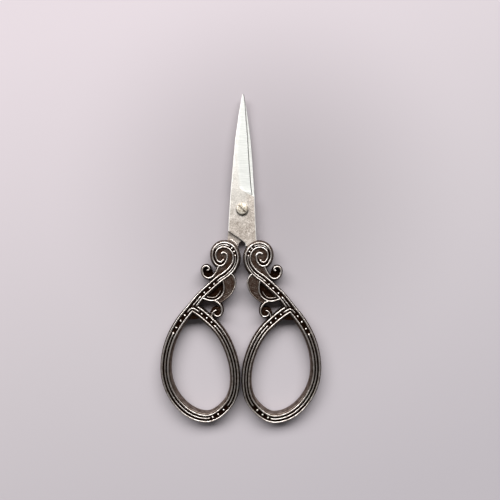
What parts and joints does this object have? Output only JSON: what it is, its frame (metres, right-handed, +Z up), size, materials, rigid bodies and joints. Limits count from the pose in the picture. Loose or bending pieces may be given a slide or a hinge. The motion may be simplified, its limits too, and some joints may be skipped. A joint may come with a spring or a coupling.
{
  "type": "embroidery scissors",
  "caption": "Small pointed scissors with two ground steel blades on a slotted pivot screw and two cast openwork handles with scrolls, beaded bands and pear-shaped finger loops.",
  "frame": {"origin": "on the surface the scissors lie on, in the middle plane between the handles, half way from the tips to the foot of the loops", "axes": "+Y toward the blades' tips, +Z up through the upper face, +X toward the handle of the upper blade"},
  "size_m": [0.0564, 0.115, 0.005],
  "materials": {
    "blade_steel": "ground and polished facet, matte stamped ricasso",
    "cast_alloy": "antiqued silver plate: polished rails over darkened recesses",
    "screw_steel": "turned and worn"
  },
  "bodies": {
    "rear_half": {"rear_blade": "blade_steel", "left_handle": "cast_alloy", "pivot_screw": "screw_steel"},
    "front_half": {"front_blade": "blade_steel", "right_handle": "cast_alloy"}
  },
  "joints": [
    {"name": "blade_pivot", "type": "hinge", "parent": "rear_half", "child": "front_half", "pos_m": [0, 0.0172, 0.0025], "axis": [0, 0, 1], "range_deg": [0, 126]}
  ]
}
